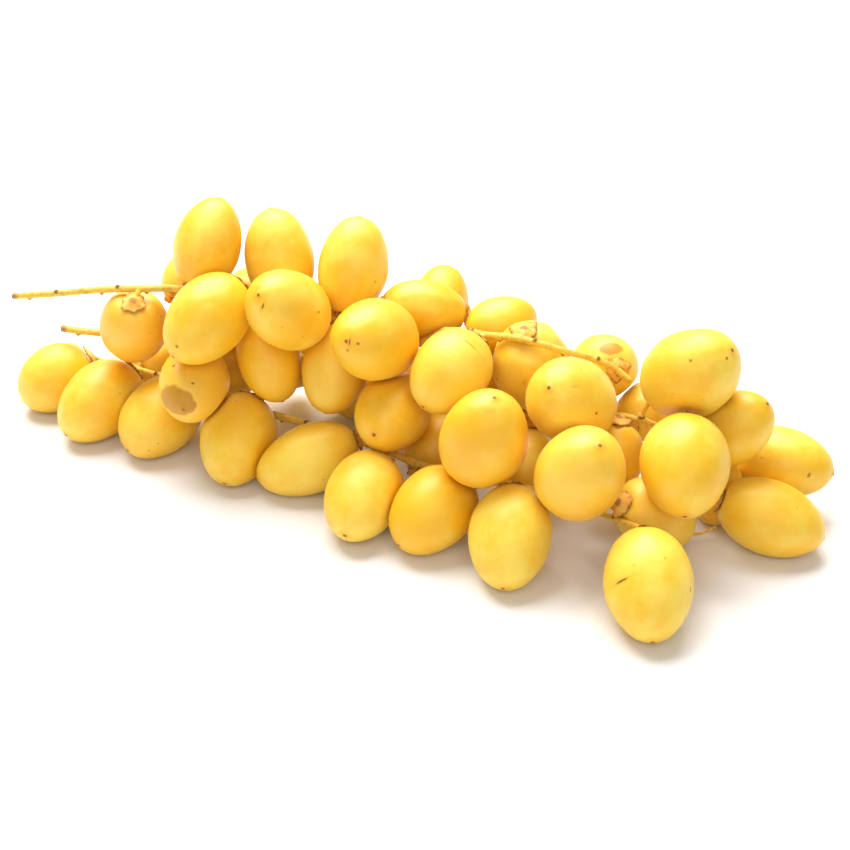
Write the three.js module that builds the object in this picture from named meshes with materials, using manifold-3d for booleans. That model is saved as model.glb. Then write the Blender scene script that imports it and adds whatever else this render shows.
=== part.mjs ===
// A picked bunch of fresh yellow dates, lying on its side on a flat surface.
//
// Three fruit strands run side by side through the bunch. Each strand is one grown piece: the cut
// stalk, the short stems that leave it and the woody cup at the end of each stem. Each date is a
// piece of its own that sits against its cup. Millimetres, +Z up, the bunch's length along X and
// the surface that it lies on at Z = 0.
import * as THREE from "three";
import { mergeVertices } from "three/addons/utils/BufferGeometryUtils.js";
import Module from "manifold-3d";

const wasm = await Module();
wasm.setup();

// ---- Driving dimensions ----

const GAP = 0.4; // clearance kept between one fruit and the next
const CUP_GAP = 0.35; // clearance between a fruit and its cup
const SPOT_DEPTH = 0.45; // how far a resting fruit is flattened by its own weight
const SPOT_REACH = 2.4; // a fruit lower than this rests on the surface

const FRUIT_SIDES = 10;
const FRUIT_RINGS = 6;
const STEM_FLAT = 0.93; // share of the half length at which the stem end is cut off flat
const EGG = 0.07; // how much narrower the tip half is than the stem half

const CUP_RADIUS = 4.2;
const CUP_HEIGHT = 1.5;
const CUP_NECK = 1.5;
const CUP_SIDES = 6;

const STEM_RADIUS = 0.9;
const STEM_SIDES = 5;
const STEM_SINK = 0.5; // how deep a stem's end lies inside the strand
const STEM_AIM = 5; // a stem runs to the part of its strand that is nearest this far behind its cup

const STRAND_SIDES = 6;
const STRAND_STEP = 8; // distance between two sections of a strand

const BALLS = 5; // balls that stand for one fruit while the bunch settles
const SETTLE_ROUNDS = 60;
const HOLD = 0.2; // how firmly a fruit is drawn back to its own place while it settles
const STEM_CLEARANCE = 1.75; // radius kept free of fruit around a stem or a strand
const STEM_SHARES = [0, 0.35, 0.7]; // places along a stem that keep other fruit off
const OWN_STEM_SHARES = [0.5, 0.75, 1]; // places along a stem that keep its own fruit off

// ---- The three strands and the fruit on each ----

// path: the strand's run from its cut end to its tip. thick: its radius at the cut end, in the
// middle and at the tip. fruit: one row per date, in the order of the strand, with the middle of
// the fruit, the turn and the rise of its tip in degrees, its length and its greatest width.
const STRANDS = [
  {
    name: "a",
    thick: [1.0, 1.4, 0.9],
    path: [
      [-142, -20, 52], [-126, -16, 54], [-112, -12, 56], [-98, -8, 57], [-84, -3, 57],
      [-73, -1, 56], [-61, 1, 55], [-45, 6, 52], [-33, 9, 49], [-19, 11, 47], [-5, 12, 42],
      [8, 11, 51], [23, 7, 54], [35, 2, 58], [52, 4, 55], [64, 8, 51], [72, 8, 46],
    ],
    fruit: [
      [-103, -6, 40, 125, -60, 33, 24],
      [-89, 13, 53, 90, 5, 28, 19],
      [-77, 4, 71, 75, 60, 32, 23],
      [-51, -6, 37, -45, -45, 31, 22],
      [-68, 20, 43, 110, -30, 34, 25],
      [-68, -18, 54, -110, -25, 35, 26],
      [-55, 13, 66, 130, 65, 33, 24],
      [-41, -11, 61, -105, 40, 36, 26],
      [-37, 31, 40, 100, -25, 35, 25],
      [-28, -3, 36, -85, -40, 32, 23],
      [-29, 18, 64, 95, 60, 35, 24],
      [-1, 18, 49, 25, -10, 31, 22],
      [-10, -10, 54, -100, 25, 37, 27],
      [-4, 38, 45, 95, 45, 28, 20],
      [17, 27, 28, -20, -30, 30, 22],
      [22, 24, 46, 45, 10, 27, 20],
      [16, -10, 48, -110, -25, 31, 25],
      [37, 12, 42, 75, -70, 37, 27],
      [59, 22, 41, 125, -25, 28, 22],
    ],
  },
  {
    name: "b",
    thick: [1.2, 1.3, 0.7],
    path: [
      [-137, -1, 30], [-124, 2, 29], [-110, 6, 29], [-95, 5, 31], [-80, 3, 34], [-66, 4, 35],
      [-53, 6, 33], [-39, 7, 31], [-24, 8, 29], [-10, 8, 28], [4, 8, 28], [19, 7, 27],
      [33, 7, 26], [47, 7, 27], [61, 7, 31], [74, 7, 33], [88, 7, 30], [99, 15, 22],
      [103, 20, 19],
    ],
    fruit: [
      [-91, 26, 25, 80, -15, 34, 25],
      [-71, -21, 29, -75, 0, 33, 24],
      [-74, 9, 22, 70, -75, 27, 20],
      [-57, 24, 20, 105, -35, 32, 23],
      [-32, 24, 15, 95, -40, 33, 24],
      [-3, -13, 30, -90, 5, 34, 25],
      [-7, 28, 18, 100, -25, 33, 24],
      [35, 28, 13, 85, -30, 33, 24],
      [43, -7, 15, -80, -40, 26, 20],
      [56, -9, 45, -105, 40, 37, 28],
      [71, -1, 22, -90, -75, 27, 19],
      [94, 3, 52, -15, 45, 36, 28],
      [76, 20, 29, 75, -5, 28, 20],
      [95, -20, 33, -75, -30, 34, 28],
      [104, 7, 35, -5, 50, 31, 23],
      [122, -2, 12, 5, -15, 36, 24],
      [105, 6, 10, -70, -60, 24, 18],
      [97, 37, 13, 110, -10, 34, 25],
      [123, 22, 17, -5, 0, 33, 23],
    ],
  },
  {
    name: "c",
    thick: [1.1, 1.2, 0.6],
    path: [
      [-135, 8, 12], [-119, 5, 15], [-102, 3, 15], [-87, 1, 16], [-72, -2, 16], [-57, -5, 14],
      [-46, -7, 15], [-33, -9, 15], [-20, -11, 15], [-7, -14, 15], [10, -16, 13], [21, -19, 15],
      [33, -22, 17], [46, -23, 18], [59, -23, 16], [73, -22, 13], [82, -13, 2], [98, -8, 2],
      [107, -6, 2],
    ],
    fruit: [
      [-138, -7, 13, -135, -25, 30, 24],
      [-113, -16, 14, -110, -20, 35, 26],
      [-110, 19, 11, 80, -15, 30, 23],
      [-90, -18, 14, -110, -20, 34, 26],
      [-55, -24, 14, -85, -30, 34, 26],
      [-34, -19, 14, -145, -15, 37, 24],
      [0, -38, 13, -90, -15, 34, 25],
      [9, 0, 13, 70, 25, 29, 23],
      [19, -36, 14, -115, -20, 33, 26],
      [33, -31, 36, -35, 75, 36, 28],
      [48, -44, 14, -80, -30, 35, 26],
      [67, -33, 36, -40, 60, 35, 28],
      [95, -53, 14, -70, -30, 36, 27],
      [88, -19, 14, 45, -35, 32, 25],
    ],
  },
];

// ---- Materials ----

const FRUIT_COLOURS = ["#f0c24a", "#e9b440", "#f3cb5c", "#dfa637"];
const STRAND_COLOUR = "#c8a24a";

function fruitMaterial(index) {
  const color = FRUIT_COLOURS[index % FRUIT_COLOURS.length];
  return new THREE.MeshStandardMaterial({ color, roughness: 0.42, metalness: 0 });
}

function strandMaterial() {
  return new THREE.MeshStandardMaterial({ color: STRAND_COLOUR, roughness: 0.6, metalness: 0 });
}

// ---- Solids: three.js geometry in, three.js geometry out ----

function solidOf(geometry) {
  const bare = geometry.clone();
  bare.deleteAttribute("normal");
  bare.deleteAttribute("uv");
  const merged = mergeVertices(bare, 1e-4);
  const vertProperties = new Float32Array(merged.getAttribute("position").array);
  const triVerts = new Uint32Array(merged.index.array);
  return new wasm.Manifold(new wasm.Mesh({ numProp: 3, vertProperties, triVerts }));
}

function geometryOf(solid) {
  const mesh = solid.getMesh();
  const geometry = new THREE.BufferGeometry();
  geometry.setAttribute("position", new THREE.BufferAttribute(mesh.vertProperties, 3));
  geometry.setIndex(new THREE.BufferAttribute(mesh.triVerts, 1));
  geometry.computeVertexNormals();
  return geometry;
}

// ---- Shapes ----

const UP = new THREE.Vector3(0, 0, 1);
const LATHE_AXIS = new THREE.Vector3(0, 1, 0);

// A profile of [radius, height] pairs turned about its own axis, which points along +Z.
function turned(profile, sides) {
  const points = profile.map(([radius, height]) => new THREE.Vector2(radius, height));
  const geometry = new THREE.LatheGeometry(points, sides);
  geometry.applyQuaternion(new THREE.Quaternion().setFromUnitVectors(LATHE_AXIS, UP));
  return geometry;
}

// Radius of a fruit at a share (-1 stem end, +1 tip) of its half length.
function fruitRadius(share, width) {
  return (width / 2) * Math.sqrt(Math.max(0, 1 - share * share)) * (1 - EGG * share);
}

function fruitGeometry(length, width) {
  const profile = [[0, (-STEM_FLAT * length) / 2]];
  const first = Math.asin(-STEM_FLAT);
  for (let ring = 0; ring < FRUIT_RINGS; ring += 1) {
    const share = Math.sin(first + ((Math.PI / 2 - first) * ring) / FRUIT_RINGS);
    profile.push([fruitRadius(share, width), (share * length) / 2]);
  }
  profile.push([0, length / 2]);
  return turned(profile, FRUIT_SIDES);
}

// The cup opens along +Z; its flat face is at Z = 0 and its neck reaches down.
function cupGeometry() {
  const profile = [
    [0, -CUP_HEIGHT],
    [CUP_NECK, -CUP_HEIGHT],
    [CUP_RADIUS, 0],
    [0, 0],
  ];
  return turned(profile, CUP_SIDES);
}

function stemGeometry(from, to) {
  const along = to.clone().sub(from);
  const length = along.length();
  const profile = [
    [0, 0],
    [STEM_RADIUS, 0],
    [STEM_RADIUS, length],
    [0, length],
  ];
  const geometry = turned(profile, STEM_SIDES);
  geometry.applyQuaternion(new THREE.Quaternion().setFromUnitVectors(UP, along.normalize()));
  geometry.translate(from.x, from.y, from.z);
  return geometry;
}

function strandRadius(share, thick) {
  const [start, middle, tip] = thick;
  return share < 0.5
    ? THREE.MathUtils.lerp(start, middle, share * 2)
    : THREE.MathUtils.lerp(middle, tip, share * 2 - 1);
}

// A tube along the strand's curve, drawn in to the strand's radius at each section.
function strandTube(curve, thick) {
  const steps = Math.round(curve.getLength() / STRAND_STEP);
  const section = new THREE.Shape();
  for (let side = 0; side < STRAND_SIDES; side += 1) {
    const turn = (side * 2 * Math.PI) / STRAND_SIDES;
    const corner = new THREE.Vector2(Math.cos(turn), Math.sin(turn));
    if (side === 0) section.moveTo(corner.x, corner.y);
    else section.lineTo(corner.x, corner.y);
  }
  const options = { steps, extrudePath: curve, bevelEnabled: false };
  const geometry = new THREE.ExtrudeGeometry(section, options);
  const middles = curve.getSpacedPoints(steps);
  const position = geometry.getAttribute("position");
  const corner = new THREE.Vector3();
  for (let i = 0; i < position.count; i += 1) {
    corner.fromBufferAttribute(position, i);
    const nearest = nearestIndex(middles, corner);
    const radius = strandRadius(nearest / steps, thick);
    corner.sub(middles[nearest]).multiplyScalar(radius).add(middles[nearest]);
    position.setXYZ(i, corner.x, corner.y, corner.z);
  }
  return geometry;
}

function nearestIndex(points, target) {
  let best = 0;
  points.forEach((point, i) => {
    if (point.distanceToSquared(target) < points[best].distanceToSquared(target)) best = i;
  });
  return best;
}

// ---- Layout: rows become fruit, and the fruit settle clear of each other ----

function pointing(turnDegrees, riseDegrees) {
  const turn = THREE.MathUtils.degToRad(turnDegrees);
  const rise = THREE.MathUtils.degToRad(riseDegrees);
  const level = Math.cos(rise);
  return new THREE.Vector3(level * Math.cos(turn), level * Math.sin(turn), Math.sin(rise));
}

// The balls of a fruit: their offsets along its axis and their radii.
function fruitBalls(length, width) {
  const half = length / 2;
  const waist = width / 2;
  const reach = (half * half - waist * waist) / half;
  const balls = [];
  for (let i = 0; i < BALLS; i += 1) {
    const offset = reach * ((2 * i) / (BALLS - 1) - 1);
    const radius = waist * Math.sqrt(1 - (offset * offset) / (half * half - waist * waist));
    balls.push({ offset, radius });
  }
  return balls;
}

function readRow(row, strand, number) {
  const [x, y, z, turn, rise, length, width] = row;
  const middle = new THREE.Vector3(x, y, z);
  return {
    name: `date_${strand.name}${String(number).padStart(2, "0")}`,
    strand: strand.name,
    home: middle.clone(),
    middle,
    axis: pointing(turn, rise),
    length,
    width,
    balls: fruitBalls(length, width),
  };
}

function stemEnd(fruit) {
  const back = (-STEM_FLAT * fruit.length) / 2 - CUP_GAP;
  return fruit.middle.clone().addScaledVector(fruit.axis, back);
}

function ballPoints(fruit) {
  return fruit.balls.map(({ offset, radius }) => ({
    point: fruit.middle.clone().addScaledVector(fruit.axis, offset),
    radius,
  }));
}

// The deepest contact between two sets of balls: how deep it is, and the middle of the overlap
// with the direction that points from the second set to the first.
function deepestContact(first, second, gap) {
  const contact = { depth: 0, middle: new THREE.Vector3(), away: new THREE.Vector3() };
  for (const a of first) {
    for (const b of second) {
      const apart = a.point.clone().sub(b.point);
      const distance = apart.length();
      const depth = a.radius + b.radius + gap - distance;
      if (depth > contact.depth) {
        contact.depth = depth;
        contact.away.copy(apart).normalize();
        contact.middle.copy(b.point).addScaledVector(contact.away, (distance + b.radius - a.radius) / 2);
      }
    }
  }
  return contact;
}

// The point of the strand that a fruit's stem grows from.
function stemRoot(fruit, route) {
  const behind = stemEnd(fruit).addScaledVector(fruit.axis, -STEM_AIM);
  return route[nearestIndex(route, behind)].clone();
}

function stemBalls(fruit, route, shares) {
  const end = stemEnd(fruit);
  const root = stemRoot(fruit, route);
  return shares.map((share) => ({
    point: end.clone().lerp(root, share),
    radius: share === 0 ? CUP_RADIUS * 0.7 : STEM_CLEARANCE,
  }));
}

function strandBalls(routes) {
  return Object.values(routes)
    .flat()
    .map((point) => ({ point, radius: STEM_CLEARANCE }));
}

function farApart(first, second) {
  return first.middle.distanceTo(second.middle) > (first.length + second.length) / 2 + CUP_RADIUS;
}

function settle(fruits, routes) {
  const strands = strandBalls(routes);
  for (let round = 0; round < SETTLE_ROUNDS; round += 1) {
    const balls = fruits.map(ballPoints);
    const stems = fruits.map((fruit) => stemBalls(fruit, routes[fruit.strand], STEM_SHARES));
    const pushes = fruits.map(() => new THREE.Vector3());
    const push = (i, contact, share) =>
      pushes[i].addScaledVector(contact.away, contact.depth * share);
    fruits.forEach((fruit, i) => {
      fruits.forEach((other, j) => {
        if (i === j || farApart(fruit, other)) return;
        push(i, deepestContact(balls[i], balls[j], GAP), 0.45);
        push(i, deepestContact(balls[i], stems[j], 0), 0.3);
      });
      push(i, deepestContact(balls[i], strands, 0), 0.3);
    });
    fruits.forEach((fruit, i) => {
      fruit.middle.add(pushes[i]);
      fruit.middle.addScaledVector(fruit.home.clone().sub(fruit.middle), HOLD);
      const lowest = Math.min(...ballPoints(fruit).map(({ point, radius }) => point.z - radius));
      if (lowest < 0) fruit.middle.z -= lowest;
    });
  }
}

// ---- Pieces ----

function place(mesh, fruit) {
  mesh.position.copy(fruit.middle);
  mesh.quaternion.setFromUnitVectors(UP, fruit.axis);
  mesh.updateMatrix();
}

function lowestPoint(mesh) {
  const position = mesh.geometry.getAttribute("position");
  const point = new THREE.Vector3();
  let lowest = Infinity;
  for (let i = 0; i < position.count; i += 1) {
    point.fromBufferAttribute(position, i).applyMatrix4(mesh.matrix);
    lowest = Math.min(lowest, point.z);
  }
  return lowest;
}

// Where a fruit presses on its neighbours, on the stems beside it and on the strands: each press
// is a plane through a point, and nothing of the fruit is left on its outward side.
function findPresses(fruit, fruits, routes) {
  const presses = [];
  const own = ballPoints(fruit);
  const keepOff = (contact, clearance) => {
    if (contact.depth <= 0) return;
    const point = contact.middle.clone().addScaledVector(contact.away, clearance);
    presses.push({ point, outward: contact.away.clone().negate() });
  };
  for (const other of fruits) {
    if (other === fruit || farApart(fruit, other)) continue;
    keepOff(deepestContact(own, ballPoints(other), GAP), GAP / 2);
    for (const ball of stemBalls(other, routes[other.strand], STEM_SHARES)) keepOffBall(ball);
  }
  for (const ball of stemBalls(fruit, routes[fruit.strand], OWN_STEM_SHARES)) keepOffBall(ball);
  for (const ball of strandBalls(routes)) keepOffBall(ball);
  return presses;

  function keepOffBall(ball) {
    const contact = deepestContact(own, [ball], 0);
    contact.middle.copy(ball.point).addScaledVector(contact.away, ball.radius);
    keepOff(contact, 0);
  }
}

// Removes what lies beyond the plane through the point, on its outward side.
function cutBeyond(solid, point, outward, size) {
  const block = new THREE.BoxGeometry(size, size, size);
  block.translate(0, 0, size / 2);
  block.applyQuaternion(new THREE.Quaternion().setFromUnitVectors(UP, outward));
  block.translate(point.x, point.y, point.z);
  return solid.subtract(solidOf(block));
}

// A date, flattened where it presses on something. One that lies on the surface is let down onto
// it and has a flat spot there too.
function makeFruit(fruit, index, fruits, routes) {
  const mesh = new THREE.Mesh(fruitGeometry(fruit.length, fruit.width), fruitMaterial(index));
  mesh.name = fruit.name;
  place(mesh, fruit);
  const presses = findPresses(fruit, fruits, routes);
  if (lowestPoint(mesh) < SPOT_REACH) {
    fruit.middle.z -= lowestPoint(mesh) + SPOT_DEPTH;
    place(mesh, fruit);
    const floor = new THREE.Vector3(fruit.middle.x, fruit.middle.y, 0);
    presses.push({ point: floor, outward: UP.clone().negate() });
  }
  if (presses.length === 0) return mesh;
  const inward = mesh.matrix.clone().invert();
  let solid = solidOf(mesh.geometry);
  for (const { point, outward } of presses) {
    const localPoint = point.clone().applyMatrix4(inward);
    const localOutward = outward.clone().transformDirection(inward);
    solid = cutBeyond(solid, localPoint, localOutward, fruit.length * 2);
  }
  mesh.geometry = geometryOf(solid);
  return mesh;
}

// A strand with the stem and cup of each of its dates, grown together.
function makeStrand(strand, curve, route, fruits) {
  let solid = solidOf(strandTube(curve, strand.thick));
  for (const fruit of fruits) {
    const end = stemEnd(fruit);
    const root = stemRoot(fruit, route);
    const cup = cupGeometry();
    cup.applyQuaternion(new THREE.Quaternion().setFromUnitVectors(UP, fruit.axis));
    cup.translate(end.x, end.y, end.z);
    const neck = end.clone().addScaledVector(fruit.axis, -CUP_HEIGHT / 2);
    const inward = root.clone().sub(neck).setLength(STEM_SINK);
    solid = solid.add(solidOf(cup)).add(solidOf(stemGeometry(neck, root.add(inward))));
  }
  const mesh = new THREE.Mesh(geometryOf(solid), strandMaterial());
  mesh.name = `strand_${strand.name}`;
  return mesh;
}

// ---- The bunch ----

function makeBunch() {
  const bunch = new THREE.Group();
  bunch.name = "date_bunch";
  const curves = {};
  const routes = {};
  for (const { name, path } of STRANDS) {
    curves[name] = new THREE.CatmullRomCurve3(path.map((point) => new THREE.Vector3(...point)));
    routes[name] = curves[name].getSpacedPoints(100);
  }
  const fruits = STRANDS.flatMap((strand) =>
    strand.fruit.map((row, i) => readRow(row, strand, i + 1)),
  );
  settle(fruits, routes);
  fruits.forEach((fruit, i) => bunch.add(makeFruit(fruit, i, fruits, routes)));
  for (const strand of STRANDS) {
    const own = fruits.filter((fruit) => fruit.strand === strand.name);
    bunch.add(makeStrand(strand, curves[strand.name], routes[strand.name], own));
  }
  const middle = new THREE.Box3().setFromObject(bunch, true).getCenter(new THREE.Vector3());
  bunch.position.set(-middle.x, -middle.y, 0);
  return bunch;
}

export default makeBunch();
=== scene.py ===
"""A picked bunch of fresh yellow dates on its three fruit strands, lying on a pale surface."""

import math
import random

import bmesh
import bpy
import numpy as np
from bpy.props import (
    FloatProperty,
    FloatVectorProperty,
    IntProperty,
    PointerProperty,
)
from mathutils import Matrix, Vector, noise
from mathutils.bvhtree import BVHTree


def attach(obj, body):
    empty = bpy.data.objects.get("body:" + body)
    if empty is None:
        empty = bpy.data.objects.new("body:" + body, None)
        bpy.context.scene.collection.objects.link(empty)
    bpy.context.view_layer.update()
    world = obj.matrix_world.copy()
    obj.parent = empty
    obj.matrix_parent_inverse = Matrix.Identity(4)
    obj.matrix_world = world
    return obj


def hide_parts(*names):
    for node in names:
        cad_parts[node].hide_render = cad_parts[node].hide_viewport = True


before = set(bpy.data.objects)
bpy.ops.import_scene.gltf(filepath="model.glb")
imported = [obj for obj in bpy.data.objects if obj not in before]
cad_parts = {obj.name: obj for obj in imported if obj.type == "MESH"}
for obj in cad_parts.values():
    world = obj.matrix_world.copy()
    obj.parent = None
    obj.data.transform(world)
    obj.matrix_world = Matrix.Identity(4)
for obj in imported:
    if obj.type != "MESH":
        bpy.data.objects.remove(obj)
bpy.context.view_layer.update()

bl_info = {
    "name": "Fresh Date Bunch",
    "version": (1, 0, 0),
    "blender": (4, 5, 0),
    "location": "3D View > Sidebar > Date Bunch",
    "description": "Builds a bunch of fresh yellow dates with its fruit strands and a pale studio",
    "category": "Object",
}

FRUIT_NODES = sorted(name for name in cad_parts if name.startswith("date_"))
STRAND_NODES = sorted(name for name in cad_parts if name.startswith("strand_"))

MM = 0.001
UP = Vector((0, 0, 1))
FRONT = Vector((0.29, -0.79, 0.54)).normalized()

# The shape that the CAD dates share: where the stem end is cut flat, and how much slimmer the tip
# half is than the stem half. Their rings have CAD_SIDES flat sides, each inside the full circle.
STEM_FLAT = 0.93
EGG = 0.07
CAD_SIDES = 10
CAD_RINGS = 6

# Marks on the skin: the kind, how far right and up it lies on the side that faces the
# front as shares of the date's radius, its lean in degrees, and half its length and width in mm.
MARKS = {
    "date_a01": [("smudge", 0.3, 0.25, 0, 2.4, 1.6)],
    "date_a06": [("dot", -0.65, -0.75, 0, 0.8, 0.8), ("smudge", -0.65, 0.15, 80, 2.6, 1.2)],
    "date_a08": [
        ("crack", -0.5, 0.0, 65, 1.4, 0.35),
        ("smudge", -0.6, 0.5, 20, 1.8, 1.0),
        ("dot", 0.85, -0.1, 0, 0.6, 0.6),
    ],
    "date_a13": [
        ("crack", -0.55, -0.1, 80, 1.5, 0.35),
        ("dot", -0.35, -0.15, 0, 0.7, 0.6),
        ("dot", -0.6, -0.3, 0, 0.6, 0.6),
    ],
    "date_a17": [("crack", 0.5, 0.7, -45, 4.5, 0.2)],
    "date_a18": [("smudge", -0.25, -0.4, 75, 2.0, 1.0), ("dot", -0.9, -0.3, 0, 0.6, 0.6)],
    "date_a19": [("rough", 0.1, 0.5, 10, 4.6, 2.8)],
    "date_b02": [
        ("bruise", -0.35, -0.5, -15, 9.0, 5.5),
        ("dot", -0.45, 0.5, 0, 0.8, 0.7),
        ("dot", 0.15, 0.0, 0, 0.9, 0.8),
    ],
    "date_b10": [("dot", 0.5, -0.3, 0, 0.7, 0.6), ("smudge", 0.0, 0.3, 20, 2.2, 1.0)],
    "date_b12": [
        ("smudge", 0.05, 0.6, -10, 3.2, 1.2),
        ("dot", 0.6, 0.3, 0, 0.7, 0.7),
        ("dot", -0.2, 0.25, 0, 0.6, 0.6),
    ],
    "date_b19": [("dot", 0.5, -0.35, 70, 1.1, 0.6)],
    "date_c10": [("smudge", 0.1, 0.6, 0, 2.0, 1.4)],
    "date_c13": [("crack", -0.7, 0.15, 15, 3.0, 0.5), ("dot", 0.85, -0.05, 80, 1.2, 0.5)],
}
# The riper dates: 1 is deep orange all over.
RIPENESS_AND_SHADE = {
    "date_a01": 0.6,
    # date_b02's deep orange is painted shade, for the shadow that a neighbouring date casts on it.
    "date_b02": 0.6,
    "date_c12": 0.5,
    "date_c10": 0.4,
    "date_a10": 0.4,
    "date_a17": 0.2,
    "date_b06": 0.3,
}

# The skin's attributes that each kind of mark may fill, and the length that stands for "no mark".
MARK_SLOTS = {
    "dot": ["dot_1", "dot_2"],
    "crack": ["crack"],
    "smudge": ["smudge"],
    "bruise": ["bruise"],
    "rough": ["rough"],
}
FAR_AWAY = 50.0


# ---- Settings ----


class DateSkinSettings(bpy.types.PropertyGroup):
    sides: IntProperty(
        name="Sides", description="Faces round one date", default=64, min=16, max=128
    )
    rings: IntProperty(
        name="Rings", description="Faces from tip to stem end", default=38, min=12, max=80
    )
    swell: FloatProperty(
        name="Unevenness",
        description="How far the skin swells and sinks",
        default=0.35 * MM,
        unit="LENGTH",
        precision=5,
    )
    press_softness: FloatProperty(
        name="Press softness",
        description="Roundness at the edge of a flat where two dates press together",
        default=1.1 * MM,
        unit="LENGTH",
        precision=5,
    )
    ripe: FloatVectorProperty(
        name="Golden skin",
        description="Main colour of the skin",
        subtype="COLOR",
        size=3,
        min=0,
        max=1,
        default=(0.90, 0.51, 0.010),
    )
    pale: FloatVectorProperty(
        name="Pale skin",
        description="Colour of the lighter cloudy patches",
        subtype="COLOR",
        size=3,
        min=0,
        max=1,
        default=(0.93, 0.68, 0.085),
    )
    # The orange skin colour is also the colour of the painted shade on the dates' undersides.
    deep_orange_and_shade: FloatVectorProperty(
        name="Orange skin",
        description="Colour of the riper patches",
        subtype="COLOR",
        size=3,
        min=0,
        max=1,
        default=(0.88, 0.37, 0.004),
    )
    scar: FloatVectorProperty(
        name="Scar",
        description="Colour of the dry scar at the tip and of the specks",
        subtype="COLOR",
        size=3,
        min=0,
        max=1,
        default=(0.22, 0.075, 0.006),
    )
    smudge: FloatVectorProperty(
        name="Smudge",
        description="Colour of the faint rubbed patches",
        subtype="COLOR",
        size=3,
        min=0,
        max=1,
        default=(0.50, 0.30, 0.03),
    )
    rough: FloatVectorProperty(
        name="Rough patch",
        description="Colour of a rubbed, rough patch",
        subtype="COLOR",
        size=3,
        min=0,
        max=1,
        default=(0.90, 0.20, 0.010),
    )
    bruise: FloatVectorProperty(
        name="Bruise",
        description="Colour of a bruise",
        subtype="COLOR",
        size=3,
        min=0,
        max=1,
        default=(0.44, 0.16, 0.006),
    )


class StrandSettings(bpy.types.PropertyGroup):
    voxel: FloatProperty(
        name="Detail",
        description="Size of the finest detail on a strand",
        default=0.36 * MM,
        unit="LENGTH",
        precision=5,
    )
    fibre: FloatVectorProperty(
        name="Strand",
        description="Main colour of the strands",
        subtype="COLOR",
        size=3,
        min=0,
        max=1,
        default=(0.86, 0.55, 0.06),
    )
    swell: FloatProperty(
        name="Swelling",
        description="How far a strand's rind stands out of its straight run",
        default=0.26 * MM,
        unit="LENGTH",
        precision=5,
    )
    green: FloatVectorProperty(
        name="Strand, fresh",
        description="Colour of the fresher stretches of a strand",
        subtype="COLOR",
        size=3,
        min=0,
        max=1,
        default=(0.74, 0.52, 0.07),
    )
    streak: FloatVectorProperty(
        name="Strand streaks",
        description="Colour of the fine streaks on a strand",
        subtype="COLOR",
        size=3,
        min=0,
        max=1,
        default=(0.62, 0.25, 0.02),
    )
    knot: FloatVectorProperty(
        name="Knot",
        description="Colour of the dark tip of a knot",
        subtype="COLOR",
        size=3,
        min=0,
        max=1,
        default=(0.11, 0.05, 0.015),
    )
    cut: FloatVectorProperty(
        name="Cut end",
        description="Colour of the dried cut end",
        subtype="COLOR",
        size=3,
        min=0,
        max=1,
        default=(0.30, 0.13, 0.05),
    )
    knot_gap: FloatProperty(
        name="Knot spacing",
        description="Distance from one knot of a strand to the next",
        default=11 * MM,
        unit="LENGTH",
        precision=4,
    )
    knot_rise: FloatProperty(
        name="Knot rise",
        description="How far a knot stands out of its strand",
        default=0.7 * MM,
        unit="LENGTH",
        precision=5,
    )
    calyx: FloatVectorProperty(
        name="Calyx",
        description="Main colour of the woody cap at a date's stem end",
        subtype="COLOR",
        size=3,
        min=0,
        max=1,
        default=(0.86, 0.54, 0.10),
    )
    calyx_rim: FloatVectorProperty(
        name="Calyx edge",
        description="Colour of the dry edge of the cap",
        subtype="COLOR",
        size=3,
        min=0,
        max=1,
        default=(0.34, 0.13, 0.02),
    )
    calyx_patch: FloatVectorProperty(
        name="Calyx patches",
        description="Colour of the riper patches of the cap",
        subtype="COLOR",
        size=3,
        min=0,
        max=1,
        default=(0.82, 0.36, 0.04),
    )


class StudioSettings(bpy.types.PropertyGroup):
    lens: FloatProperty(
        name="Lens", description="Focal length of the camera", default=67.76, subtype="DISTANCE_CAMERA"
    )
    turn: FloatProperty(
        name="Turn",
        description="How far the camera stands round to the right",
        default=math.radians(20),
        subtype="ANGLE",
    )
    height: FloatProperty(
        name="Height",
        description="How steeply the camera looks down",
        default=math.radians(33),
        subtype="ANGLE",
    )
    distance: FloatProperty(
        name="Distance", description="From the camera to its aim", default=0.584, unit="LENGTH"
    )
    aim: FloatVectorProperty(
        name="Aim",
        description="Point on the surface that the camera looks at",
        subtype="XYZ",
        size=3,
        default=(-0.0012, 0.0347, 0.0),
    )
    floor: FloatVectorProperty(
        name="Surface",
        description="Colour of the surface that the bunch lies on",
        subtype="COLOR",
        size=3,
        min=0,
        max=1,
        default=(0.88, 0.87, 0.87),
    )


# ---- Shader graphs ----


class Wire:
    """A shader socket that carries one number, so that sums can be written out."""

    def __init__(self, graph, socket):
        self.graph, self.socket = graph, socket

    def _math(self, operation, first, second):
        return self.graph.node(
            "ShaderNodeMath", {"operation": operation}, {0: first, 1: second}
        )["Value"]

    def __add__(self, other):
        return self._math("ADD", self, other)

    __radd__ = __add__

    def __sub__(self, other):
        return self._math("SUBTRACT", self, other)

    def __rsub__(self, other):
        return self._math("SUBTRACT", other, self)

    def __mul__(self, other):
        return self._math("MULTIPLY", self, other)

    __rmul__ = __mul__


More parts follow.
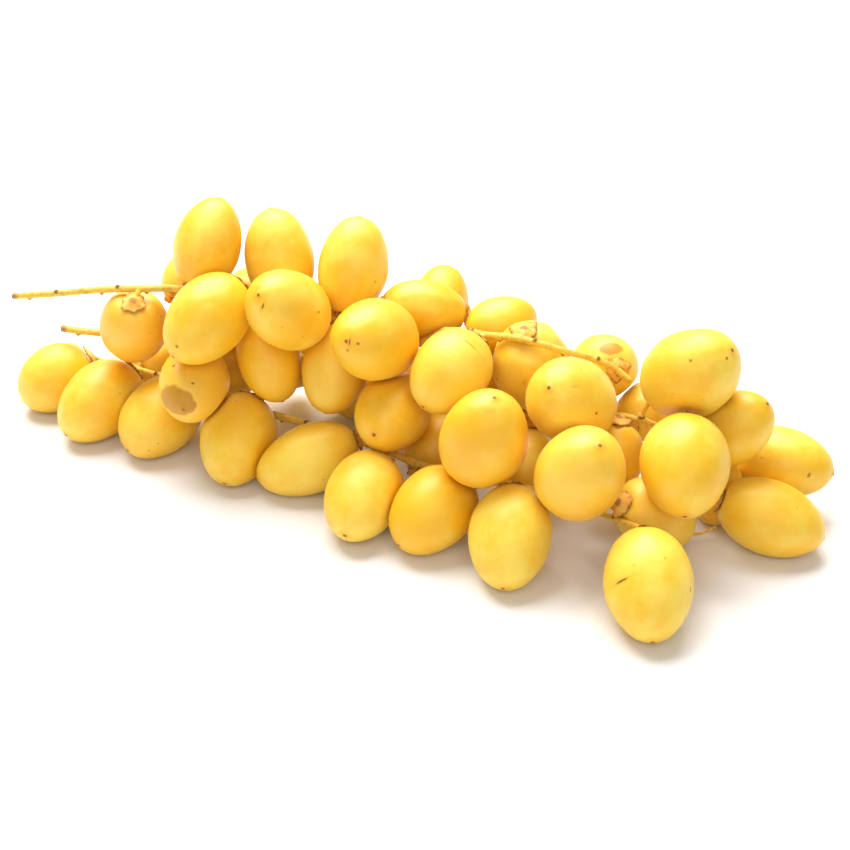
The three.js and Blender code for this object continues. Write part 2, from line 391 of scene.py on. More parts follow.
class Graph:
    """A new material's nodes."""

    def __init__(self, name):
        self.material = bpy.data.materials.new(name)
        self.material.use_nodes = True
        self.tree = self.material.node_tree
        self.tree.nodes.clear()

    def node(self, kind, settings=None, inputs=None):
        made = self.tree.nodes.new(kind)
        for key, value in (settings or {}).items():
            if key == "stops":
                ramp = made.color_ramp.elements
                while len(ramp) < len(value):
                    ramp.new(0.5)
                for stop, (position, colour) in zip(ramp, value):
                    stop.position = position
                    stop.color = colour
            else:
                setattr(made, key, value)
        for key, value in (inputs or {}).items():
            socket = made.inputs[key]
            if isinstance(value, Wire):
                self.tree.links.new(value.socket, socket)
            else:
                socket.default_value = value
        return {out.name: Wire(self, out) for out in made.outputs if out.enabled}

    def smooth(self, value, low, high):
        """0 where value is under low, 1 over high, and smooth between."""
        return self.node(
            "ShaderNodeMapRange",
            {"interpolation_type": "SMOOTHSTEP"},
            {"Value": value, "From Min": low, "From Max": high, "To Min": 0.0, "To Max": 1.0},
        )["Result"]

    def mix(self, factor, first, second):
        made = self.tree.nodes.new("ShaderNodeMix")
        made.data_type = "RGBA"
        for key, value in (("Factor_Float", factor), ("A_Color", first), ("B_Color", second)):
            socket = next(s for s in made.inputs if s.identifier == key)
            if isinstance(value, Wire):
                self.tree.links.new(value.socket, socket)
            else:
                socket.default_value = value
        out = next(s for s in made.outputs if s.identifier == "Result_Color")
        return Wire(self, out)

    def attribute(self, name):
        return self.node("ShaderNodeAttribute", {"attribute_name": name})

    def spread(self, name):
        """How far out of a mark's middle a place on the skin is, 1 at the mark's edge."""
        offset = self.attribute(name)["Vector"]
        return self.node("ShaderNodeVectorMath", {"operation": "LENGTH"}, {0: offset})["Value"]

    def noise(self, where, scale, detail=2.0, roughness=0.5):
        return self.node(
            "ShaderNodeTexNoise",
            {},
            {"Vector": where, "Scale": scale, "Detail": detail, "Roughness": roughness},
        )["Fac"]

    def finish(self, shader):
        output = self.tree.nodes.new("ShaderNodeOutputMaterial")
        self.tree.links.new(shader.socket, output.inputs["Surface"])
        return self.material


def opaque(colour):
    return (*colour, 1.0)


def skin_ground(graph, sizes, where, cloud, mottle):
    """The skin's colour without its marks: golden, with paler clouds, riper deeper patches, and
    painted shade that turns the downward-facing sides deeper orange.
    """
    tone = graph.attribute("skin_tone")["Fac"]
    paleness = graph.smooth(cloud + (mottle - 0.5) * 0.2 + tone * 0.1, 0.3, 0.75)
    warmth = graph.smooth(graph.noise(where, 48, 2.0) - tone * 0.1, 0.5, 0.85)
    # The ripeness attribute holds each date's ripeness plus painted shade, more on the sides that face
    # down, so the undersides turn deeper orange.
    ripeness = graph.attribute("ripeness")["Fac"] + (cloud - 0.5) * 0.5
    colour = graph.mix(paleness, opaque(sizes.ripe), opaque(sizes.pale))
    orange_and_shade_share = warmth * 0.3 + graph.smooth(ripeness, 0.0, 1.2) * 0.7
    return graph.mix(orange_and_shade_share, colour, opaque(sizes.deep_orange_and_shade))


def skin_material(sizes):
    graph = Graph("date_skin")
    where = graph.node("ShaderNodeTexCoord")["Object"]
    cloud = graph.noise(where, 75, 3.0, 0.55)
    mottle = graph.noise(where, 420, 2.0, 0.6)
    ragged = (mottle - 0.5) * 0.4 + (cloud - 0.5) * 0.9

    def mark(name, inner, outer):
        return 1.0 - graph.smooth(graph.spread(name) + ragged, inner, outer)

    colour = skin_ground(graph, sizes, where, cloud, mottle)

    # Pinprick specks in loose groups, then the dry scar at the tip with a warm halo.
    cells = graph.node(
        "ShaderNodeTexVoronoi",
        {"feature": "F1"},
        {"Vector": where, "Scale": 210.0, "Randomness": 1.0},
    )
    groups = graph.smooth(graph.noise(where, 60, 0.0), 0.58, 0.64)
    specks = (1.0 - graph.smooth(cells["Distance"], 0.05, 0.10)) * groups
    from_tip = graph.attribute("from_tip")["Fac"]
    halo = 1.0 - graph.smooth(from_tip + (mottle - 0.5) * 1.2, 0.9, 3.2)
    scar = 1.0 - graph.smooth(from_tip + (mottle - 0.5) * 0.5, 0.45, 0.85)
    colour = graph.mix(specks * 0.55, colour, opaque(sizes.scar))
    colour = graph.mix(halo * 0.45, colour, opaque(sizes.deep_orange_and_shade))
    colour = graph.mix(scar * 0.92, colour, opaque(sizes.scar))

    # The larger marks.
    rough = mark("rough", 0.7, 1.0)
    bruise = mark("bruise", 0.75, 1.0)
    spots = mark("dot_1", 0.5, 1.0) + mark("dot_2", 0.5, 1.0)
    crack = mark("crack", 0.4, 1.0)
    colour = graph.mix(mark("smudge", 0.1, 1.1) * 0.35, colour, opaque(sizes.smudge))
    colour = graph.mix(rough * 0.85, colour, opaque(sizes.rough))
    colour = graph.mix(bruise * (0.45 + cloud * 0.6), colour, opaque(sizes.bruise))
    colour = graph.mix(spots * 0.75, colour, opaque(sizes.scar))
    colour = graph.mix(mark("crack", 0.9, 3.0) * 0.35, colour, opaque(sizes.deep_orange_and_shade))
    colour = graph.mix(crack * 0.9, colour, opaque(sizes.scar))

    fine = graph.noise(where, 900, 2.0, 0.6)
    sunk = specks * 1.5 + scar * 1.2 + crack * 2.0 + spots * 1.5
    relief = fine * (0.4 + rough * 1.6) + mottle - sunk
    bump = graph.node(
        "ShaderNodeBump", {}, {"Height": relief, "Strength": 0.10, "Distance": 0.25 * MM}
    )["Normal"]
    shader = graph.node(
        "ShaderNodeBsdfPrincipled",
        {"subsurface_method": "RANDOM_WALK"},
        {
            "Base Color": colour,
            "Roughness": 0.40 + mottle * 0.12 + scar * 0.3,
            "Normal": bump,
            "Subsurface Weight": 0.25,
            "Subsurface Radius": (1.0, 0.45, 0.08),
            "Subsurface Scale": 2.2 * MM,
            "Specular IOR Level": 0.6,
            "Specular Tint": (1.0, 0.9, 0.6, 1.0),
            "Coat Weight": 0.38 - (scar + crack + spots + bruise + rough) * 0.3,
            "Coat Roughness": 0.46,
        },
    )["BSDF"]
    return graph.finish(shader)


def strand_material(sizes):
    graph = Graph("strand_fibre")
    where = graph.node("ShaderNodeTexCoord")["Object"]
    patch = graph.smooth(graph.noise(where, 60, 2.0), 0.4, 0.65)
    fine = graph.noise(where, 600, 3.0, 0.6)
    colour = graph.mix(patch, opaque(sizes.fibre), opaque(sizes.green))
    colour = graph.mix(graph.smooth(fine, 0.45, 0.7) * 0.6, colour, opaque(sizes.streak))
    dark = graph.smooth(graph.attribute("knot")["Fac"] + (fine - 0.5) * 0.3, 0.35, 0.8)
    colour = graph.mix(dark * 0.85, colour, opaque(sizes.knot))
    cut = 1.0 - graph.smooth(graph.attribute("from_cut")["Fac"] + (fine - 0.5) * 2.0, 0.8, 2.6)
    colour = graph.mix(cut * 0.8, colour, opaque(sizes.cut))
    bump = graph.node(
        "ShaderNodeBump", {}, {"Height": fine, "Strength": 0.4, "Distance": 0.3 * MM}
    )["Normal"]
    shader = graph.node(
        "ShaderNodeBsdfPrincipled",
        {},
        {"Base Color": colour, "Roughness": 0.5 + fine * 0.2, "Normal": bump},
    )["BSDF"]
    return graph.finish(shader)


def calyx_material(sizes):
    graph = Graph("calyx_wood")
    where = graph.node("ShaderNodeTexCoord")["Object"]
    fine = graph.noise(where, 900, 3.0, 0.6)
    rim = graph.attribute("rim")["Fac"]
    patch = graph.smooth(graph.noise(where, 260, 2.0), 0.4, 0.7)
    edge = graph.smooth(rim + (fine - 0.5) * 0.7, 0.8, 1.08)
    colour = graph.mix(patch, opaque(sizes.calyx), opaque(sizes.calyx_patch))
    colour = graph.mix(edge, colour, opaque(sizes.calyx_rim))
    heart = 1.0 - graph.smooth(rim + (fine - 0.5) * 0.2, 0.2, 0.42)
    colour = graph.mix(heart * 0.8, colour, opaque(sizes.calyx_rim))
    bump = graph.node(
        "ShaderNodeBump", {}, {"Height": fine, "Strength": 0.5, "Distance": 0.3 * MM}
    )["Normal"]
    shader = graph.node(
        "ShaderNodeBsdfPrincipled",
        {},
        {"Base Color": colour, "Roughness": 0.6 + fine * 0.2, "Normal": bump},
    )["BSDF"]
    return graph.finish(shader)


# ---- Reading the dates from the CAD frame ----


def outline(share):
    """A date's radius over its greatest radius, at a share of its half length from its middle."""
    return math.sqrt(max(0.0, 1 - share * share)) * (1 - EGG * share)


SHARES = np.linspace(-STEM_FLAT, 1, 60)
OUTLINE = np.array([outline(share) for share in SHARES])


def flat_sides(node):
    """The CAD node's whole flat sides as (normal, centre, area), its corners and its edges."""
    shape = bmesh.new()
    shape.from_mesh(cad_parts[node].data)
    bmesh.ops.remove_doubles(shape, verts=shape.verts, dist=2e-6)
    bmesh.ops.dissolve_limit(
        shape, angle_limit=math.radians(0.6), verts=shape.verts, edges=shape.edges
    )
    sides = [
        (np.array(f.normal), np.array(f.calc_center_median()), f.calc_area()) for f in shape.faces
    ]
    corners = np.array([v.co for v in shape.verts])
    edges = np.array([e.verts[1].co - e.verts[0].co for e in shape.edges])
    shape.free()
    return sides, corners, edges


def ring_axis(edges):
    """The direction that most of a date's edges are square to."""
    lengths = np.linalg.norm(edges, axis=1)
    edges, lengths = edges[lengths > 0.8 * MM], lengths[lengths > 0.8 * MM]
    ways = edges / lengths[:, None]
    tries = np.cross(ways[:, None, :], ways[None, :, :]).reshape(-1, 3)
    sizes = np.linalg.norm(tries, axis=1)
    tries = tries[sizes > 0.3] / sizes[sizes > 0.3][:, None]
    square = (np.abs(tries @ ways.T) < 0.004) @ lengths
    best = tries[square.argmax()]
    level = np.abs(ways @ best) < 0.004
    _, _, rows = np.linalg.svd(ways[level] * lengths[level][:, None])
    return rows[2]


def fit_date(corners, axis):
    """Centre, half length and half width of the date that the corners lie on, and how many do."""
    side = np.cross(axis, [0.3, 0.5, 0.8])
    side /= np.linalg.norm(side)
    other = np.cross(axis, side)
    heights = corners @ axis
    across = np.stack([corners @ side, corners @ other], 1)
    low, high = heights.min(), heights.max()
    half = (high - low) / (1 + STEM_FLAT)
    x = np.array([*across.mean(0), high - half, half, half * 0.75])

    def misfit(x):
        share = np.clip((heights - x[2]) / x[3], -0.9999, 0.9999)
        radius = x[4] * np.sqrt(1 - share * share) * (1 - EGG * share)
        return np.linalg.norm(across - x[:2], axis=1) - radius

    use = heights < high - 0.2 * MM
    for _ in range(60):
        r = misfit(x)
        weight = 1 / (1 + (r / (0.06 * MM)) ** 2) * use
        steps = np.eye(5) * 1e-6
        slope = np.stack([(misfit(x + step) - r) / 1e-6 for step in steps], 1)
        normal = slope.T @ (weight[:, None] * slope) + np.eye(5) * 1e-9
        move = np.linalg.solve(normal, slope.T @ (weight * r))
        x = x - np.clip(move, -1.5 * MM, 1.5 * MM)
    good = (np.abs(misfit(x)) < 0.05 * MM) & use
    centre = side * x[0] + other * x[1] + axis * x[2]
    return centre, x[3], x[4], int(good.sum())


class Fruit:
    """One date: where it lies, how big it is, and the planes that it is pressed flat on."""

    def __init__(self, node):
        self.node = node
        sides, corners, edges = flat_sides(node)
        axis = ring_axis(edges)
        fits = [(fit_date(corners, way), way) for way in (axis, -axis)]
        (centre, half, radius, _), axis = max(fits, key=lambda fit: fit[0][3])
        self.centre, self.axis = Vector(centre), Vector(axis)
        self.half, self.radius = half, radius
        self.presses = self.read_presses(sides)
        front = FRONT - self.axis * FRONT.dot(self.axis)
        self.front = front.normalized()
        self.seed = FRUIT_NODES.index(node)

    def bands(self):
        """The tilt and the distance of each band of flat sides that the CAD date starts with."""
        first = math.asin(-STEM_FLAT)
        turns = [
            first + (math.pi / 2 - first) * ring / CAD_RINGS for ring in range(CAD_RINGS + 1)
        ]
        points = [
            (
                self.radius * outline(math.sin(turn)) * math.cos(math.pi / CAD_SIDES),
                self.half * math.sin(turn),
            )
            for turn in turns
        ]
        for (near, low), (far, high) in zip(points, points[1:]):
            length = math.hypot(far - near, high - low)
            out, rise = (high - low) / length, (near - far) / length
            yield rise, near * out + low * rise

    def read_presses(self, sides):
        known = [*self.bands(), (-1.0, STEM_FLAT * self.half)]
        presses = []
        for normal, centre, area in sides:
            tilt = float(normal @ np.array(self.axis))
            away = float(normal @ (centre - np.array(self.centre)))
            own = any(
                abs(tilt - rise) < 0.012 and abs(away - far) < 0.08 * MM for rise, far in known
            )
            if not own and area > 0.6e-6:
                presses.append((Vector(normal), Vector(centre)))
        return presses

    def reach(self, way):
        """How far the date reaches from its centre in the direction given."""
        along = float(way @ np.array(self.axis))
        across = math.sqrt(max(0.0, 1 - along * along))
        return float((along * self.half * SHARES + across * self.radius * OUTLINE).max())


def parting_plane(first, second):
    """The plane that best parts two dates, as (normal from first to second, point, overlap)."""
    gap = np.array(second.centre - first.centre)
    if np.linalg.norm(gap) > first.half + second.half:
        return None
    centre_a, centre_b = np.array(first.centre), np.array(second.centre)
    best = gap / np.linalg.norm(gap)

    def room(way):
        return float(way @ gap) - first.reach(way) - second.reach(-way)

    most, step = room(best), 0.5
    source = random.Random(first.seed * 97 + second.seed)
    while step > 0.01:
        for _ in range(14):
            way = best + np.array([source.uniform(-step, step) for _ in range(3)])
            way /= np.linalg.norm(way)
            if room(way) > most:
                best, most = way, room(way)
        step *= 0.6
    if most > 0:
        return None
    from_a = float(best @ centre_a) + first.reach(best)
    from_b = float(best @ centre_b) - second.reach(-best)
    return Vector(best), Vector(best * (from_a + from_b) / 2), -most


def read_fruits():
    fruits = [Fruit(node) for node in FRUIT_NODES]
    for i, first in enumerate(fruits):
        for second in fruits[i + 1 :]:
            plane = parting_plane(first, second)
            if plane and plane[2] > 0.1 * MM:
                normal, point, _ = plane
                first.presses.append((normal, point - normal * 0.12 * MM))
                second.presses.append((-normal, point + normal * 0.12 * MM))
    return fruits


# ---- Dates ----


def soft_stop(height, softness):
    """Holds a height under 0, with a round approach."""
    if height <= -softness:
        return height
    if height >= softness:
        return 0.0
    return -((softness - height) ** 2) / (4 * softness)


def spin_date(fruit, sizes):
    """A date standing on its stem end at the origin, by turning half its outline round."""
    body = bmesh.new()
    low = math.asin(-STEM_FLAT)
    points = []
    for ring in range(sizes.rings + 1):
        turn = math.pi / 2 + (low - math.pi / 2) * ring / sizes.rings
        share = math.sin(turn)
        points.append((fruit.radius * outline(share), fruit.half * share))
    rim, foot = points[-1]
    points[-1] = (rim * 0.97, foot + 0.12 * MM)
    points += [(rim * 0.88, foot), (rim * 0.6, foot + 0.1 * MM), (rim * 0.3, foot + 0.3 * MM)]
    points.append((0.0, foot + 0.35 * MM))
    path = [body.verts.new((across, 0, height)) for across, height in points]
    for near, far in zip(path, path[1:]):
        body.edges.new((near, far))
    bmesh.ops.spin(
        body,
        geom=body.verts[:] + body.edges[:],
        cent=(0, 0, 0),
        axis=(0, 0, 1),
        angle=math.tau,
        steps=sizes.sides,
        use_merge=True,
    )
    bmesh.ops.remove_doubles(body, verts=body.verts, dist=1e-6)
    bmesh.ops.recalc_face_normals(body, faces=body.faces)
    return body


def shape_date(body, fruit, sizes):
    """Gives the date its uneven skin and the small knob at its tip."""
    source = random.Random(fruit.seed)
    twist, lean = source.uniform(0, math.tau), source.uniform(0, math.tau)
    apart = Vector((fruit.seed * 3.1, fruit.seed * 1.7, 0))
    for vert in body.verts:
        place = vert.co.copy()
        turn = math.atan2(place.y, place.x)
        across = math.hypot(place.x, place.y)
        wide = 1 + 0.010 * math.cos(2 * turn + twist) + 0.007 * math.cos(3 * turn + lean)
        vert.co.x *= wide
        vert.co.y *= wide
        swell = noise.noise(place * 75 + apart) + 0.35 * noise.noise(place * 210 + apart)
        vert.co += vert.normal * sizes.swell * swell
        if place.z > 0:
            vert.co.z += 0.3 * MM * math.exp(-((across / (0.8 * MM)) ** 2))
            vert.co.z -= 0.12 * MM * math.exp(-(((across - 2.2 * MM) / (1.1 * MM)) ** 2))


def press_date(body, fruit, sizes):
    """Flattens the date where it presses on its neighbours and on the surface."""
    for vert in body.verts:
        for normal, point in fruit.presses:
            height = normal.dot(vert.co - point) - 0.08 * MM
            if height > -sizes.press_softness:
                vert.co += normal * (soft_stop(height, sizes.press_softness) - height)
        height = -vert.co.z
        if height > -0.3 * MM:
            vert.co.z = -soft_stop(height, 0.3 * MM)


def mark_skin(mesh, fruit):
    """Gives each kind of mark an attribute: the way to the mark's middle, 1 long at its edge."""
    places = np.array([v.co for v in mesh.vertices])
    surface = BVHTree.FromPolygons(
        [v.co for v in mesh.vertices], [side.vertices for side in mesh.polygons]
    )
    right = UP.cross(FRONT).normalized()
    up = FRONT.cross(right)
    free = {kind: list(slots) for kind, slots in MARK_SLOTS.items()}
    offsets = {
        slot: np.full_like(places, FAR_AWAY) for slots in MARK_SLOTS.values() for slot in slots
    }
    for kind, across, above, lean, length, width in MARKS.get(fruit.node, []):
        start = fruit.centre + (right * across + up * above) * fruit.radius + FRONT * fruit.half * 3
        middle, out, _, _ = surface.ray_cast(start, -FRONT)
        if middle is None:
            middle, out, _, _ = surface.find_nearest(start - FRONT * fruit.half * 3)
        lean = math.radians(lean)
        along = right * math.cos(lean) + up * math.sin(lean)
        along = (along - out * along.dot(out)).normalized()
        aside = out.cross(along)
        depth = max(length, width)
        axes = np.stack([along / (length * MM), aside / (width * MM), out / (depth * MM)], 1)
        offsets[free[kind].pop(0)] = (places - np.array(middle)) @ axes
    for slot, values in offsets.items():
        mesh.attributes.new(slot, "FLOAT_VECTOR", "POINT").data.foreach_set(
            "vector", values.astype(np.float32).ravel()
        )


def make_date(fruit, sizes, skin):
    """Makes one date's skin, with the attributes that its material reads."""
    body = spin_date(fruit, sizes)
    tip = Vector((0, 0, fruit.half))
    body.verts.index_update()
    local = [v.co.copy() for v in body.verts]
    shape_date(body, fruit, sizes)
    side = fruit.axis.cross(fruit.front)
    turn = Matrix((fruit.front, side, fruit.axis)).transposed().to_4x4()
    bmesh.ops.transform(body, matrix=Matrix.Translation(fruit.centre) @ turn, verts=body.verts)
    press_date(body, fruit, sizes)
    for face in body.faces:
        face.smooth = True
    mesh = bpy.data.meshes.new(f"skin_{fruit.node}")
    body.to_mesh(mesh)
    body.free()
    source = random.Random(fruit.seed + 500)
    tone = source.uniform(-1, 1)
    mesh.attributes.new("skin_tone", "FLOAT", "POINT").data.foreach_set(
        "value", [tone] * len(mesh.vertices)
    )
    mesh.attributes.new("from_tip", "FLOAT", "POINT").data.foreach_set(
        "value", [(place - tip).length / MM for place in local]
    )
    base = RIPENESS_AND_SHADE.get(fruit.node, 0.0)
    # Painted shade: the sides that face down get extra ripeness, so they turn deeper orange as if in
    # shade.
    ripeness_with_shade = [base + 0.35 * max(0.0, -vert.normal.z) for vert in mesh.vertices]
    mesh.attributes.new("ripeness", "FLOAT", "POINT").data.foreach_set("value", ripeness_with_shade)
    mark_skin(mesh, fruit)
    mesh.materials.append(skin)
    piece = bpy.data.objects.new(f"skin_{fruit.node}", mesh)
    bpy.context.scene.collection.objects.link(piece)
    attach(piece, "root")
    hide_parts(fruit.node)


# ---- Calyxes ----

# A cap's section from its middle to its edge: how far out, and how high over the date's stem end.
CAP_SECTION = [(0, 2.3), (1.0, 2.3), (1.5, 2.1), (2.2, 1.75), (2.9, 1.4), (3.6, 1.05), (4.3, 0.75)]
CAP_SIDES = 36
CAP_THICKNESS = 0.4 * MM
CAP_CURL = 0.45 * MM
FIRST_LOBES = 0.10
SECOND_LOBES = 0.09
CURL_FROM = 0.17
PLUMP_DATE = 12.5 * MM


def add_calyx(caps, fruit):
    """Adds the woody six-lobed cap that holds one date's stem end to the mesh of caps."""
    cap = bmesh.new()
    rim = cap.verts.layers.float.new("rim")
    path = [cap.verts.new((across * MM, 0, height * MM)) for across, height in CAP_SECTION]
    for near, far in zip(path, path[1:]):
        cap.edges.new((near, far))
    bmesh.ops.spin(
        cap,
        geom=cap.verts[:] + cap.edges[:],
        cent=(0, 0, 0),
        axis=(0, 0, 1),
        angle=math.tau,
        steps=CAP_SIDES,
        use_merge=True,
    )
    bmesh.ops.remove_doubles(cap, verts=cap.verts, dist=1e-6)
    bmesh.ops.recalc_face_normals(cap, faces=cap.faces)
    if sum(face.normal.z for face in cap.faces) < 0:
        bmesh.ops.reverse_faces(cap, faces=cap.faces)
    source = random.Random(fruit.seed + 900)
    wide = max(0.95, min(1.05, fruit.radius / PLUMP_DATE))
    for vert in cap.verts:
        across = math.hypot(vert.co.x, vert.co.y)
        share = across / (CAP_SECTION[-1][0] * MM)
        turn = math.atan2(vert.co.y, vert.co.x)
        lobes = FIRST_LOBES * math.cos(3 * turn) + SECOND_LOBES * math.cos(6 * turn)
        ragged = 0.10 * noise.noise(vert.co * 900 + Vector((fruit.seed, 0, 0)))
        vert.co.x *= wide * (1 + (lobes + ragged) * share**2)
        vert.co.y *= wide * (1 + (lobes + ragged) * share**2)
        curl = CAP_CURL * max(0.0, lobes + ragged) / CURL_FROM
        vert.co.z += curl * share**4 + 0.12 * MM * math.sin(9 * turn) * share
        vert[rim] = share
    bmesh.ops.solidify(cap, geom=cap.faces[:], thickness=CAP_THICKNESS)
    back = -fruit.axis
    foot = fruit.centre + back * (fruit.half * STEM_FLAT)
    side = back.cross(fruit.front).normalized()
    turn = Matrix((back.cross(side), side, back)).transposed().to_4x4()
    spin = Matrix.Rotation(source.uniform(0, math.tau), 4, "Z")
    bmesh.ops.transform(cap, matrix=Matrix.Translation(foot) @ turn @ spin, verts=cap.verts)
    bmesh.ops.recalc_face_normals(cap, faces=cap.faces)
    mesh = bpy.data.meshes.new("cap")
    cap.to_mesh(mesh)
    cap.free()
    caps.from_mesh(mesh)
    bpy.data.meshes.remove(mesh)


def make_calyxes(node, fruits, wood):
    """Makes the caps of all of one strand's dates as one piece."""
    caps = bmesh.new()
    caps.verts.layers.float.new("rim")
    for fruit in fruits:
        add_calyx(caps, fruit)
    for face in caps.faces:
        face.smooth = True
    mesh = bpy.data.meshes.new(f"calyxes_{node}")
    caps.to_mesh(mesh)
    caps.free()
    mesh.materials.append(wood)
    piece = bpy.data.objects.new(f"calyxes_{node}", mesh)
    bpy.context.scene.collection.objects.link(piece)
    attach(piece, "root")


# ---- Strands ----

WALK_STEP = 2 * MM
WALK_REACH = 2.4 * MM
FIRST_KNOT = 5 * MM
KNOT_OUT = 1.1 * MM
KNOT_SIZE = 0.95 * MM
RIND_REACH = 3.0 * MM
TAIL_LENGTH = 15 * MM
TAIL_RISE = 1.3 * MM
TAIL_SWAY = 1.4 * MM


def middle_line(places):
    """Points along the middle of a strand, from its cut end, past the stems that leave it."""
    left = places[:, 0].min()
    centre = places[places[:, 0] < left + 1.5 * MM].mean(0)
    heading = np.array([1.0, 0.0, 0.0])
    line = [centre]
    for _ in range(200):
        ahead = centre + heading * WALK_STEP
        near = places[np.linalg.norm(places - ahead, axis=1) < WALK_REACH]
        if len(near) < 12:
            break
        fresh = near.mean(0)
        step = fresh - centre
        if step @ heading < 0.6 * MM:
            break
        heading = 0.75 * heading + 0.25 * step / np.linalg.norm(step)
        heading /= np.linalg.norm(heading)
        centre = fresh
        line.append(centre)
    return line


def curl_tail(places, moved):
    """Bends the last stretch of the lowest strand up and aside, as it dries."""
    tail = np.clip((places[:, 0] - moved[:, 0].max() + TAIL_LENGTH) / TAIL_LENGTH, 0, 1)
    moved[:, 2] += (np.sin(tail * 7.5) + 1) * tail * TAIL_RISE
    moved[:, 1] -= np.sin(tail * 5.0) * tail * TAIL_SWAY


def raise_knots(mesh, node, sizes):
    """Swells a strand's rind, raises its dark knots on alternate sides and marks its cut end."""
    source = random.Random(STRAND_NODES.index(node) + 40)
    places = np.array([v.co for v in mesh.vertices])
    normals = np.array([v.normal for v in mesh.vertices])
    line = middle_line(places)
    knot = np.zeros(len(places))
    walked, aim, side = 0.0, FIRST_KNOT, 1
    for near, far in zip(line, line[1:]):
        walked += np.linalg.norm(far - near)
        if walked < aim:
            continue
        aim += sizes.knot_gap * source.uniform(0.6, 1.4)
        side = -side
        way = Vector((0, -0.45, side)).normalized()
        point = far + np.array(way) * KNOT_OUT
        close = np.exp(-((np.linalg.norm(places - point, axis=1) / KNOT_SIZE) ** 2))
        knot = np.maximum(knot, close)
    spine = np.array(line)
    apart = np.min([np.linalg.norm(places - point, axis=1) for point in spine], axis=0)
    rind = np.clip((RIND_REACH - apart) / MM, 0, 1)
    swell = sizes.swell * rind + knot**1.5 * sizes.knot_rise
    moved = places + normals * swell[:, None]
    if node == "strand_c":
        curl_tail(places, moved)
    mesh.vertices.foreach_set("co", moved.astype(np.float32).ravel())
    start = np.linalg.norm(places - line[0], axis=1) / MM
    for name, values in (("knot", knot), ("from_cut", start)):
        mesh.attributes.new(name, "FLOAT", "POINT").data.foreach_set(
            "value", values.astype(np.float32)
        )


def make_strand(node, sizes, fibre):
    """Makes one strand from an even, softened copy of its CAD shape."""
    bare = bmesh.new()
    bare.from_mesh(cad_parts[node].data)
    bmesh.ops.remove_doubles(bare, verts=bare.verts, dist=2e-6)
    mesh = bpy.data.meshes.new(f"fibre_{node}")
    bare.to_mesh(mesh)
    bare.free()
    piece = bpy.data.objects.new(f"fibre_{node}", mesh)
    bpy.context.scene.collection.objects.link(piece)
    remesh = piece.modifiers.new("even", "REMESH")
    remesh.mode = "VOXEL"
    remesh.voxel_size = sizes.voxel
    remesh.use_smooth_shade = True
    smooth = piece.modifiers.new("soft", "SMOOTH")
    smooth.factor = 0.6
    smooth.iterations = 4
    seen = piece.evaluated_get(bpy.context.evaluated_depsgraph_get())
    mesh = bpy.data.meshes.new_from_object(seen)
    piece.modifiers.clear()
    piece.data = mesh
    raise_knots(mesh, node, sizes)
    mesh.materials.clear()
    mesh.materials.append(fibre)
    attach(piece, "root")
    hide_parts(node)


# ---- Studio ----


def area_light(name, place, aim, size, power, colour):
    data = bpy.data.lights.new(name, "AREA")
    data.shape = "RECTANGLE"
    data.size, data.size_y = size
    data.energy = power
    data.color = colour
    lamp = bpy.data.objects.new(name, data)
    lamp.location = place
    lamp.rotation_euler = (Vector(aim) - Vector(place)).to_track_quat("-Z", "Y").to_euler()
    bpy.context.scene.collection.objects.link(lamp)


def make_floor(sizes):
    shape = bmesh.new()
    bmesh.ops.create_grid(shape, x_segments=1, y_segments=1, size=4)
    bmesh.ops.translate(shape, vec=(0, 0, -0.0001), verts=shape.verts)
    mesh = bpy.data.meshes.new("pale_surface")
    shape.to_mesh(mesh)
    shape.free()
    graph = Graph("pale_surface")
    shader = graph.node(
        "ShaderNodeBsdfPrincipled",
        {},
        {"Base Color": opaque(sizes.floor), "Roughness": 0.7, "Specular IOR Level": 0.2},
    )["BSDF"]
    mesh.materials.append(graph.finish(shader))
    floor = bpy.data.objects.new("pale_surface", mesh)
    bpy.context.scene.collection.objects.link(floor)


def make_camera(sizes):
    data = bpy.data.cameras.new("camera")
    data.lens = sizes.lens
    data.sensor_width = 36
    data.clip_start = 0.01
    data.clip_end = 50
    camera = bpy.data.objects.new("camera", data)
    bpy.context.scene.collection.objects.link(camera)
    level = sizes.distance * math.cos(sizes.height)
    back = Vector(
        (
            level * math.sin(sizes.turn),
            -level * math.cos(sizes.turn),
            sizes.distance * math.sin(sizes.height),
        )
    )
    camera.location = Vector(sizes.aim) + back
    camera.rotation_euler = (-back).to_track_quat("-Z", "Y").to_euler()
    bpy.context.scene.camera = camera


def make_world():
    world = bpy.data.worlds.new("soft_white")
    world.use_nodes = True
    sky = world.node_tree.nodes["Background"]
    sky.inputs["Color"].default_value = (1.0, 0.985, 0.97, 1)
    sky.inputs["Strength"].default_value = 0.36
    bpy.context.scene.world = world


# ---- Operators and panel ----


class BUNCH_OT_dates(bpy.types.Operator):
    """Make every date of the bunch and the woody cap at each stem end"""

    bl_idname = "bunch.dates"
    bl_label = "Dates"

    def execute(self, context):
        sizes = context.scene.date_skin
        skin = skin_material(sizes)
        wood = calyx_material(context.scene.date_strand)
        fruits = read_fruits()
        for fruit in fruits:
            make_date(fruit, sizes, skin)
        for node in STRAND_NODES:
            letter = node.removeprefix("strand_")
            held = [f for f in fruits if f.node.startswith(f"date_{letter}")]
            make_calyxes(node, held, wood)
        return {"FINISHED"}


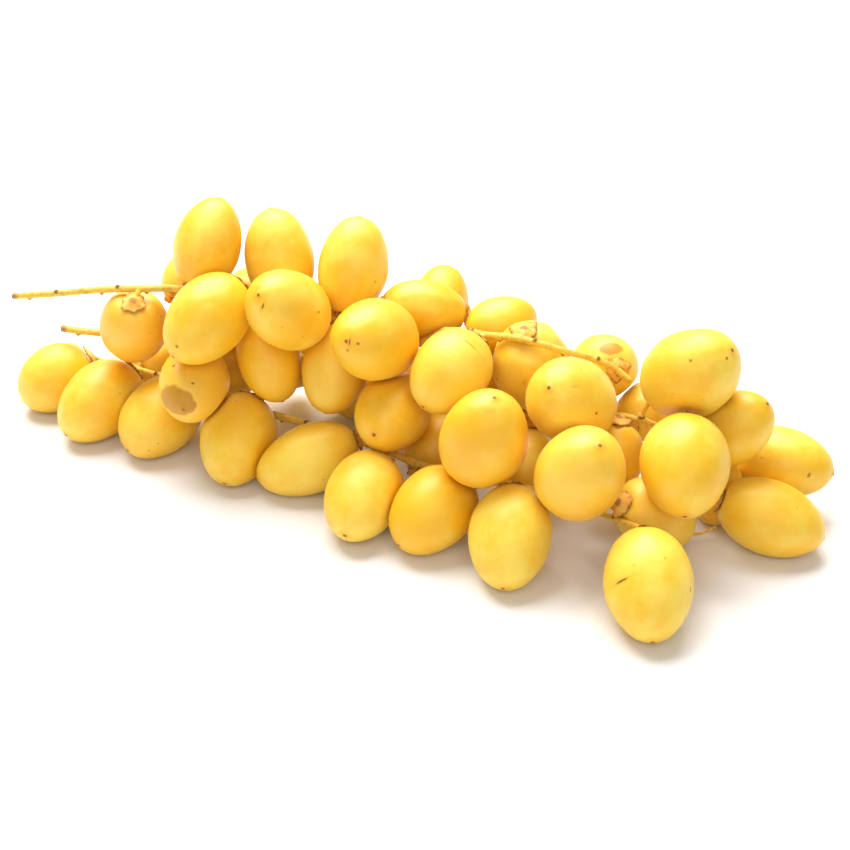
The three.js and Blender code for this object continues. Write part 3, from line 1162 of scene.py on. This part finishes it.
class BUNCH_OT_strands(bpy.types.Operator):
    """Make the three fruit strands with their stems and cups"""

    bl_idname = "bunch.strands"
    bl_label = "Strands"

    def execute(self, context):
        sizes = context.scene.date_strand
        fibre = strand_material(sizes)
        for node in STRAND_NODES:
            make_strand(node, sizes, fibre)
        return {"FINISHED"}


class BUNCH_OT_studio(bpy.types.Operator):
    """Make the pale surface, the soft lights and the camera"""

    bl_idname = "bunch.studio"
    bl_label = "Studio"

    def execute(self, context):
        sizes = context.scene.date_studio
        make_floor(sizes)
        make_world()
        area_light("key", (-0.3, 0.4, 0.95), (0, 0, 0), (1.0, 0.9), 26, (1, 1, 1))
        area_light("fill", (0.3, -0.8, 0.7), (0, 0, 0), (0.8, 0.8), 3.2, (1, 1, 1))
        make_camera(sizes)
        context.scene.view_settings.view_transform = "Standard"
        return {"FINISHED"}


class BUNCH_PT_panel(bpy.types.Panel):
    bl_label = "Date Bunch"
    bl_idname = "BUNCH_PT_panel"
    bl_space_type = "VIEW_3D"
    bl_region_type = "UI"
    bl_category = "Date Bunch"

    def draw(self, context):
        for settings in ("date_skin", "date_strand", "date_studio"):
            group = getattr(context.scene, settings)
            box = self.layout.box()
            for name in group.__annotations__:
                box.prop(group, name)
        for operator in (BUNCH_OT_dates, BUNCH_OT_strands, BUNCH_OT_studio):
            self.layout.operator(operator.bl_idname)


CLASSES = (
    DateSkinSettings,
    StrandSettings,
    StudioSettings,
    BUNCH_OT_dates,
    BUNCH_OT_strands,
    BUNCH_OT_studio,
    BUNCH_PT_panel,
)


def register():
    for cls in CLASSES:
        bpy.utils.register_class(cls)
    bpy.types.Scene.date_skin = PointerProperty(type=DateSkinSettings)
    bpy.types.Scene.date_strand = PointerProperty(type=StrandSettings)
    bpy.types.Scene.date_studio = PointerProperty(type=StudioSettings)


def unregister():
    del bpy.types.Scene.date_skin
    del bpy.types.Scene.date_strand
    del bpy.types.Scene.date_studio
    for cls in reversed(CLASSES):
        bpy.utils.unregister_class(cls)


def main():
    register()
    bpy.ops.bunch.strands()
    bpy.ops.bunch.dates()
    bpy.ops.bunch.studio()


if __name__ == "__main__":
    main()
